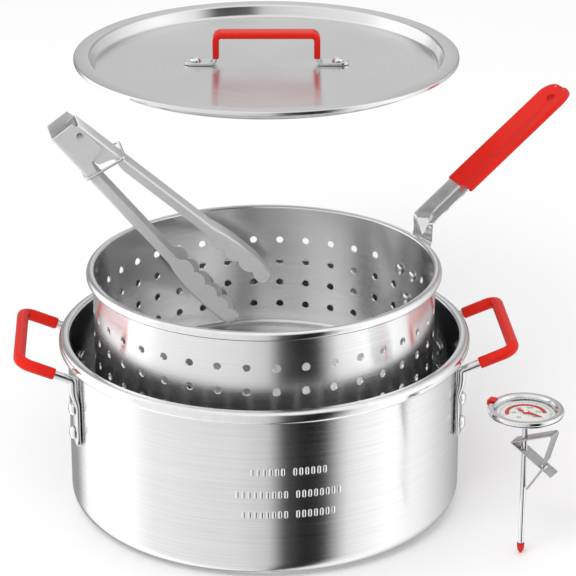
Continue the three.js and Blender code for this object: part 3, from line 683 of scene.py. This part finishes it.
def grip():
    """Dipped V-section grip with a rounded far end and a hang hole."""
    half = ARM_W / 2 + GAP + GRIP_WALL
    low, high = -(GAP + GRIP_WALL), ARM_T + GAP + GRIP_WALL
    rings = []
    lip_end, nose = GRIP_FROM + 1.1, 13.9
    for s, inset in ((GRIP_FROM, 0.55), (GRIP_FROM + 0.35, 0.15), (lip_end, 0.0)):
        rings.append(vee_ring(s, half - inset, low + inset, high - inset))
    straight = GRIP_END - nose - lip_end
    rings += [vee_ring(lip_end + straight * k / 16, half, low, high) for k in range(1, 17)]
    for k in range(1, 10):
        t = sin(pi / 2 * k / 9)
        width = half * (1 - 0.66 * (1 - sqrt(max(0.0, 1 - t * t))))
        inset = 0.9 * max(0.0, (k - 7) / 2) ** 2
        rings.append(vee_ring(GRIP_END - nose * (1 - t), width, low + inset, high - inset))
    piece = add("basket_handle_grip_visual", loft(rings), "basket", *VINYL, arm_matrix(),
                sharp=75)
    cut(piece, bar_between(-8, 14, HANG_R, 28), arm_matrix() @ move(HANG, 0, 0))


def vee_ring(s, half, low, high):
    """One closed V-band section at distance s along the arm, its long edges rounded."""
    lift = ARM_VEE * half / (ARM_W / 2 + GAP + GRIP_WALL)
    outline = [(-half, low + lift), (0, low), (half, low + lift), (half, high + lift), (0, high),
               (-half, high + lift)]
    round_edges = fillet([(a, b, 0) for a, b in outline], [1.9, 2.5, 1.9, 1.9, 0.5, 1.9], 4, closed=True)
    return [Vector((s, p[0], p[1])) for p in round_edges]


# -------- lid
def lid():
    place = move(*LID_AT) @ turn("Z", LID_TURN)
    floor = LID_T - LID_DEPTH
    outline = [(0, -LID_DEPTH), (LID_RECESS - 2.2, -LID_DEPTH), (LID_RECESS + 1.3, -LID_T),
               (LID_R - 1.3, -LID_T), (LID_R - 1.3, -3.2), (LID_R, -3.2), (LID_R, 0), (LID_RECESS - 0.4, 0),
               (LID_RECESS - 3.8, floor), (0, floor)]
    profile = fillet(outline, [0, 4, 1.2, 0.2, 0.4, 0.5, 1.2, 2.4, 3.2, 0], 7)
    spin("lid_plate_visual", profile, "lid", "lid_aluminium", LID_METAL, place)
    low, high = floor + GAP + BAR_T / 2, floor + BAR_RISE
    line = [(-BAR_FEET / 2 + 6, 0, low), (-BAR / 2, 0, low), (-BAR / 2, 0, high), (BAR / 2, 0, high),
            (BAR / 2, 0, low), (BAR_FEET / 2 - 6, 0, low)]
    path = fillet(line, 4.6, 7)
    rings = strap_rings(path, BAR_W / 2, BAR_T / 2)
    add("lid_handle_strap_visual", loft(rings), "lid", *PLATED, place, sharp=50)
    cover = fillet([(-BAR / 2, 0, low + 5), (-BAR / 2, 0, high), (BAR / 2, 0, high), (BAR / 2, 0, low + 5)],
                   4.6, 7)
    sleeve = sweep(cover, (0, 1, 0), BAR_W / 2 + GAP + 1, BAR_T / 2 + GAP + 1, 1.5, 0.5)
    add("lid_handle_sleeve_visual", sleeve, "lid", *VINYL, place, sharp=60)
    for sign, where in ((-1, "left"), (1, "right")):
        at = place @ move(sign * BAR_RIVETS / 2, 0, -LID_DEPTH - GAP)
        rivet(f"lid_{where}_rivet_visual", "lid", f"lid_{where}_rivet", LID_T + BAR_T + 3 * GAP, *LID_RIVET,
              at)


def strap_rings(path, half_w, half_t):
    """Flat strap along a path in the XZ plane, with half-round ends in plan."""
    rings, side = [], Vector((0, 1, 0))
    tips = [(6.0, 0.25), (5.4, 0.48), (4.2, 0.72), (2.4, 0.91), (1.0, 0.985)]
    first = (path[1] - path[0]).normalized()
    last = (path[-1] - path[-2]).normalized()
    for reach, share in tips:
        rings.append(oblong(path[0] - first * reach, side, first.cross(side), half_w * share, half_t, 0.5))
    for i, here in enumerate(path):
        before, after = path[max(i - 1, 0)], path[min(i + 1, len(path) - 1)]
        along = (after - before).normalized()
        rings.append(oblong(here, side, along.cross(side), half_w, half_t, 0.5))
    for reach, share in reversed(tips):
        rings.append(oblong(path[-1] + last * reach, side, last.cross(side), half_w * share, half_t, 0.5))
    return rings


# -------- tongs
def tongs_matrix():
    rear, tip = Vector(TONGS_REAR), Vector(TONGS_TIP)
    along = (tip - rear).normalized()
    side = Vector((-along.y, along.x, 0)).normalized()
    up = along.cross(side)
    basis = Matrix((along, side, up)).transposed().to_4x4()
    return Matrix.Translation(rear) @ basis @ turn("X", TONGS_ROLL)


def follow(points, x):
    """Height of a polyline at x."""
    for (x0, z0), (x1, z1) in zip(points, points[1:]):
        if x <= x1:
            return z0 + (z1 - z0) * max(0.0, (x - x0)) / max(x1 - x0, 1e-6)
    return points[-1][1]


def channel(spine, edge, half_w, up, first, last, tip_round, step=1.25):
    """U channel from a back line and a flange edge line; `up` is +1 when the flanges rise from the back."""
    spine = [(p[0], p[1]) for p in fillet([(x, z) for x, z in spine], 26, 6)]
    rows, count, corner = [], int((last - first) / step), 2.2
    for k in range(count + 1):
        x = first + (last - first) * k / count
        back, lip = follow(spine, x), edge(x)
        close = max(0.0, (x - (last - tip_round)) / tip_round)
        w = half_w * sqrt(max(0.04, 1 - (0.97 * close) ** 2.4))
        r = min(corner, w * 0.8)
        side = [(-w, lip + (back + up * r - lip) * j / 5) for j in range(5)]
        bend = [(-w + r - r * cos(a), back + up * (r - r * sin(a))) for a in
                (pi / 2 * j / 5 for j in range(6))]
        half = side + bend
        row = half + [(0, back)] + [(-y, z) for y, z in reversed(half)]
        rows.append([Vector((x, y, z)) for y, z in row])
    return grid(rows)


def scallop(x, first, last, count, depth):
    """Depth of a row of rounded teeth at x."""
    if not first <= x <= last:
        return 0.0
    return depth * abs(sin(pi * count * (x - first) / (last - first))) ** 0.55


def tongs():
    place = tongs_matrix()
    upper_place = place @ move(PIN[0], 0, PIN[1]) @ turn("Y", -TONGS_OPEN)
    steel = drawn_metal("tongs_satin", (0.86, 0.86, 0.865), (0.34, 0.55), place, (70, 1100, 1100),
                        metallic=0.55)
    lower_spine = [(-5, -4), (148, -4), (158, -6), (176, -7.3), (204, -6.5), (224, -3.7), (234, 0.6)]
    lower_edge = [(-5, 15.6), (3, 17.7), (26.5, 20.4), (28.5, 18), (31, 7.2), (44, 4), (148, 4), (152, 5)]

    def lower_lip(x):
        return follow(lower_edge, x) + scallop(x, 152, 232, 5, 4.4) - max(0.0, x - 228) * 0.25

    def upper_lip(x):
        line = [(-5, -4), (18, -6), (21, -11.6), (31, -9.6), (33, -6), (34.5, -2), (37, 1.2), (40, 1.0),
                (43, -0.6), (50, -1.8), (142, -1.8), (148, -2.6), (216, -2.6)]
        return follow(line, x) - scallop(x, 148, 216, 4, 4.1)

    upper_spine = [(-5, 5.7), (144, 5.7), (154, 7.1), (172, 8.3), (196, 7.5), (212, 5.1), (219, 2.1)]
    sheet = dict(sharp=30, sheet=0.9, offset=-1, bevel=0.18)
    lower = channel(lower_spine, lower_lip, TONGS_W / 2, 1, ARM_START, LOWER_END, 9)
    add("tongs_lower_arm_visual", lower, "tongs_lower", "tongs_steel", steel, place, **sheet)
    upper = channel(upper_spine, upper_lip, TONGS_W / 2 - 2, -1, ARM_START, UPPER_END, 8)
    add("tongs_upper_arm_visual", upper, "tongs_upper", "tongs_steel", steel, upper_place, **sheet)
    across = place @ move(PIN[0], 0, PIN[1]) @ turn("X", 90)
    end = TONGS_W / 2 + GAP
    pin = fillet([(0, -end - 1.1), (3.2, -end - 1.1), (3.2, -end), (1.8, -end), (1.8, end), (3.2, end),
                  (3.2, end + 1.1), (0, end + 1.1)], [0, 0.9, 0.1, 0, 0, 0.1, 0.9, 0], 4)
    spin("tongs_pivot_pin_visual", pin, "tongs_lower", *RIVETED, across, 28)
    coil_r, coil_half, turns, per_turn = 2.95, 4.9, 7, 24
    coil = [(coil_r * cos(a), coil_r * sin(a), -coil_half + 2 * coil_half * a / (tau * turns))
            for a in (tau * turns * k / (turns * per_turn) for k in range(turns * per_turn + 1))]
    add("tongs_spring_visual", sweep(coil, (1, 0, 0), 0.62, 0.62, 0.61, steps=2), "tongs_lower",
        *SPRUNG, across, sharp=60)
    low, high, lean, wire_r = -4.3 - GAP - 1, 27.6 + GAP + 1, 2.4, 1.0
    across_y = TONGS_W / 2 + GAP + wire_r + 0.4
    corners = [(40, -across_y, low), (40 + 2 * lean, -across_y, high), (40 + 2 * lean, across_y, high),
               (40, across_y, low)]
    loop = fillet(corners, 3.5, 6, closed=True)
    add("tongs_lock_ring_visual", sweep(loop, (1, 0, 0), wire_r, wire_r, wire_r * 0.99, closed=True, steps=3),
        "tongs_ring", "tongs_steel", CHROME, place, sharp=60)


# -------- thermometer
def thermometer():
    here, z = move(*DIAL_AT, 0), CASE_Z

    def turned(name, outline, radii, slot, material, segments=96, body="thermometer", **more):
        spin(name, fillet(outline, radii, 6, outline[0][0] > 0), body, slot, material, here, segments, **more)

    slope = (RIM_Z - z) / (CASE_R - DISH_R)
    lift, well, inside = hypot(1, slope), CASE_R - 3, WINDOW_R - GAP
    case = [(1.4, z), (DISH_R, z), (CASE_R, RIM_Z), (CASE_R, BEZEL_Z - GAP), (well, BEZEL_Z - GAP),
            (well, z + slope * (well - DISH_R) + lift), (DISH_R, z + lift), (1.4, z + lift)]
    turned("thermometer_case_visual", case, [0.2, 3, 0.3, 0.15, 0.1, 0.1, 2, 0.2], *POLISHED)
    bezel = [(WINDOW_R, BEZEL_Z), (BEZEL_R - 0.8, BEZEL_Z), (BEZEL_R, BEZEL_Z + 1.3),
             (BEZEL_R - 0.9, DIAL_TOP), (WINDOW_R + 1.6, DIAL_TOP), (WINDOW_R, DIAL_TOP - 1.8)]
    turned("thermometer_bezel_visual", bezel, [0.2, 0.5, 1.0, 0.9, 0.8, 0.5], *POLISHED)
    turned("thermometer_lens_visual", [(0, LENS_Z), (inside, LENS_Z), (inside, LENS_Z + 1), (0, LENS_Z + 1)],
           [0, 0.2, 0.2, 0], "lens_glass", LENS)
    turned("thermometer_dial_visual", [(1.4, DIAL_Z), (inside - 0.2, DIAL_Z), (inside - 0.2, DIAL_Z + 0.8),
           (1.4, DIAL_Z + 0.8)], [0, 0.1, 0.2, 0], *PAINTED)
    turned("thermometer_stem_visual", [(1.45, 2.8), (STEM_R, 2.8), (STEM_R, z - GAP), (1.45, z - GAP)],
           [0, 0.2, 0.2, 0], *POLISHED, 40)
    collar = [(2.35, 103), (3.4, 103), (3.9, 103.6), (3.9, 105.6), (3.4, z - GAP), (2.35, z - GAP)]
    turned("stem_collar_visual", collar, [0.1, 0.3, 0.3, 0.3, 0.3, 0.1], *POLISHED, 40)
    tip = [(0, 0), (1.0, 0.3), (2.8, 4.6), (2.75, 8.1), (2.35, 8.1), (2.35, 2.5), (0, 2.5)]
    turned("stem_tip_visual", tip, [0, 0.5, 2, 0.6, 0.1, 0, 0], *PLASTIC, 40, nodes=["stem_tip_cap"])
    turned("bimetal_coil_visual", [(0.75, 12), (1.15, 12), (1.15, 46), (0.75, 46)], [0, 0, 0, 0], *SPRUNG, 16)
    top = POINTER_Z - GAP
    turned("pointer_spindle_visual", [(0, 11), (0.45, 11), (0.45, top), (0, top)], [0, 0, 0, 0], *SPRUNG, 16,
           "pointer")
    dial_face(DIAL_Z + 0.8)
    needle(POINTER_Z)
    marker()


def ring_sector(r0, r1, start, end, z, steps):
    rows = [[Vector((r * cos(a), r * sin(a), z)) for a in
             (radians(start + (end - start) * k / steps) for k in range(steps + 1))] for r in (r0, r1)]
    return grid(rows)


def dial_face(z):
    """Printed scale: a red arc band, black ticks and plain numbers."""
    here, top = move(*DIAL_AT, 0), z + 0.06
    arc = ring_sector(12.2, 15.2, -6, 188, top, 60)
    add("dial_red_arc", arc, "thermometer", *PLASTIC, here, sheet=0.05, offset=1)
    ticks = []
    for k in range(TICKS + 1):
        angle = SCALE_START - k * SCALE_SWEEP / TICKS
        inner = 17.8 if k % 5 else 16.6
        ticks.append(ring_sector(inner, 19.2, angle - 0.45, angle + 0.45, top, 2))
    add("dial_ticks", join(*ticks), "thermometer", *PRINTED, here, sheet=0.05, offset=1)
    for k, value in enumerate(DIAL_NUMBERS):
        angle = radians(SCALE_START - k * SCALE_SWEEP / (len(DIAL_NUMBERS) - 1))
        text = bpy.data.curves.new(f"dial_number_{value}", "FONT")
        text.body, text.size, text.extrude = str(value), 3.1 * MM, 0.02 * MM
        text.align_x = text.align_y = "CENTER"
        label = bpy.data.objects.new(f"dial_number_{value}", text)
        bpy.context.scene.collection.objects.link(label)
        r = 9.4
        label.location = (here @ Vector((r * cos(angle), r * sin(angle), top + 0.02))) * MM
        text.materials.append(BLACK_INK)
        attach(label, "thermometer")


def needle(z):
    """Red blade with a low boss, and the white cap over the spindle."""
    here = move(*DIAL_AT, 0)
    boss = revolve(fillet([(0, z), (2.6, z), (2.6, z + 0.9), (0, z + 0.9)], [0, 0.2, 0.4, 0], 4), 36)
    blade = [(-7, -0.8), (4, -1.1), (14, -0.25), (14, 0.25), (4, 1.1), (-7, 0.8)]
    rings = [[Vector((x, y, z + h)) for x, y in blade] for h in (0.3, 0.8)]
    add("pointer_needle_visual", join(boss, placed(loft(rings), turn("Z", POINTING))), "pointer", *PLASTIC,
        here)
    cap = fillet([(0, z + 0.9), (1.9, z + 0.9), (1.7, z + 1.25), (0, z + 1.3)], [0, 0.05, 0.2, 0], 4)
    spin("pointer_cap", cap, "pointer", *PAINTED, here, 32)


def marker():
    outline = [(BEZEL_R + GAP, BEZEL_Z), (BEZEL_R + 1.7, BEZEL_Z), (BEZEL_R + 1.7, DIAL_TOP + 1.4),
               (WINDOW_R + 1.6, DIAL_TOP + 1.4), (WINDOW_R + 1.6, DIAL_TOP + GAP),
               (BEZEL_R + GAP, DIAL_TOP + GAP)]
    points = [Vector((x, 0, h)) for x, h in fillet(outline, [0.4, 0.4, 1.0, 0.5, 0.4, 0.2], 4, closed=True)]
    rings = [[p + Vector((0, y, 0)) for p in points] for y in (-3.25, 3.25)]
    add("target_marker_visual", loft(rings), "marker", *PLASTIC,
        move(*DIAL_AT, 0) @ turn("Z", MARKER_TURN), bevel=0.3)


def stem_clip():
    """Bent strip whose lower arm has a slot for the narrowed spring leg; the stem runs through two holes."""
    left, right, cross, spring, tab = (-8.3, 90.7), (24.6, 104.2), (16.7, 75.3), (3.6, 54), (24.5, 70.5)
    place = move(*DIAL_AT, 0) @ turn("Z", CLIP_TURN)
    lower = sweep([(x, 0, z) for x, z in (tab, left)], (0, 1, 0), CLIP_W / 2, CLIP_T / 2, 0.3, 0.2)
    band = add("stem_clip_lower_arm", lower, "clip", *CLIP, place)
    slot_path = [(cross[0] - 2.6, 0, cross[1] - 4.2), (cross[0], 0, cross[1]),
                 (cross[0] + 1.1, 0, cross[1] + 4.2)]
    cut(band, sweep(slot_path, (0, 1, 0), 3.5, 1.8, 0.1), place)
    cut(band, bar_between(78, 92, 2.6), place)
    points = fillet([(x, 0, z) for x, z in (left, right, (cross[0] + 0.9, cross[1] + 4.4))], [0, 1.4, 0], 5)
    upper = add("stem_clip_upper_arms", sweep(points, (0, 1, 0), CLIP_W / 2, CLIP_T / 2, 0.3, 0.2), "clip",
                *CLIP, place, ["stem_clip"])
    cut(upper, bar_between(90, 100, 2.6), place)
    leg = fillet([(x, 0, z) for x, z in ((cross[0] + 1.2, cross[1] + 5.6), cross, spring)], [0, 3, 0], 5)
    add("stem_clip_spring_leg", sweep(leg, (0, 1, 0), 2.75, CLIP_T / 2, 0.3, 0.2), "clip", *CLIP, place)


# -------- studio
# brightness of the reflected studio by direction: degrees round from the front towards the right
SURROUND = ((-180, 0.72), (-173, 0.38), (-150, 0.32), (-134, 1.35), (-92, 1.4), (-76, 1.05), (-50, 0.95),
            (-20, 0.86), (-1, 0.7), (8, 0.08), (20, 0.01), (33, 0.02), (40, 0.5), (47, 0.98), (76, 1.35),
            (104, 1.1), (128, 0.75), (152, 0.45), (166, 0.38), (173, 0.72), (180, 0.72))


def softbox_world():
    """White to the eye and to diffuse light; polished metal sees soft boxes with dark gaps between them."""
    world = bpy.data.worlds.new("studio")
    bpy.context.scene.world = world
    world.use_nodes = True
    x, y, z = node(world, "ShaderNodeSeparateXYZ",
                   {0: node(world, "ShaderNodeTexCoord").outputs["Generated"]}).outputs
    around = math_node(world, "ARCTAN2", x, math_node(world, "MULTIPLY", y, -1.0))
    share = math_node(world, "ADD", math_node(world, "DIVIDE", around, tau), 0.5)
    ramp = node(world, "ShaderNodeValToRGB", {0: share})
    stops = ramp.color_ramp.elements
    for azimuth, _ in SURROUND[1:-1]:
        stops.new((azimuth + 180) / 360)
    for stop, (azimuth, value) in zip(stops, SURROUND):
        stop.position, stop.color = (azimuth + 180) / 360, (value, value, value, 1)
    overhead = node(world, "ShaderNodeMapRange", {0: z, 1: 0.55, 2: 0.9}).outputs[0]
    boxes = blend(world, overhead, ramp.outputs[0], (1.0, 1.0, 1.0, 1))
    glossy = node(world, "ShaderNodeLightPath").outputs["Is Glossy Ray"]
    seen = blend(world, glossy, (0.94, 0.94, 0.94, 1), boxes)
    world.node_tree.links.new(seen, world.node_tree.nodes["Background"].inputs["Color"])


def studio():
    floor = bpy.data.meshes.new("floor")
    size = 12
    floor.from_pydata([(-size, -size, 0), (size, -size, 0), (size, size, 0), (-size, size, 0)], [],
                      [(0, 1, 2, 3)])
    ground = bpy.data.objects.new("floor", floor)
    ground.location.z = -0.0005
    bpy.context.scene.collection.objects.link(ground)
    floor.materials.append(principled("floor_pale", (0.97, 0.97, 0.97), 0.0, 0.7))

    ground.visible_glossy = False
    softbox_world()

    key = bpy.data.lights.new("key", "AREA")
    key.energy, key.size = 18, 1.3
    lamp = bpy.data.objects.new("key", key)
    lamp.location = (-0.7, -1.3, 1.9)
    lamp.rotation_euler = (Vector((0, 0.05, 0.1)) - lamp.location).to_track_quat("-Z", "Y").to_euler()
    lamp.visible_glossy = False
    bpy.context.scene.collection.objects.link(lamp)

    camera = bpy.data.cameras.new("camera")
    camera.sensor_width, camera.lens = 36, 156.25
    camera.clip_start, camera.clip_end = 0.05, 50
    eye = bpy.data.objects.new("camera", camera)
    eye.location = (-0.0954, -1.7547, 0.881)
    eye.rotation_euler = (radians(67.94), 0, radians(-3.7))
    bpy.context.scene.collection.objects.link(eye)
    bpy.context.scene.camera = eye
    bpy.context.scene.view_settings.view_transform = "Standard"


pot()
raised_bars()
side_handle(1)
side_handle(-1)
basket()
basket_handle()
for (t, z), where in zip(ARM_RIVETS, ("front", "back", "lower")):
    at = turn("Z", ARM_AZIMUTH) @ move(BASKET_R - BASKET_WALL - 1.3, t, z) @ turn("Y", 90)
    rivet(f"basket_{where}_rivet_visual", "basket", f"basket_rivet_{where}",
          BASKET_WALL + ARM_T + 2 * GAP + 1.5, *ARM_RIVET, at)
lid()
tongs()
thermometer()
stem_clip()
studio()
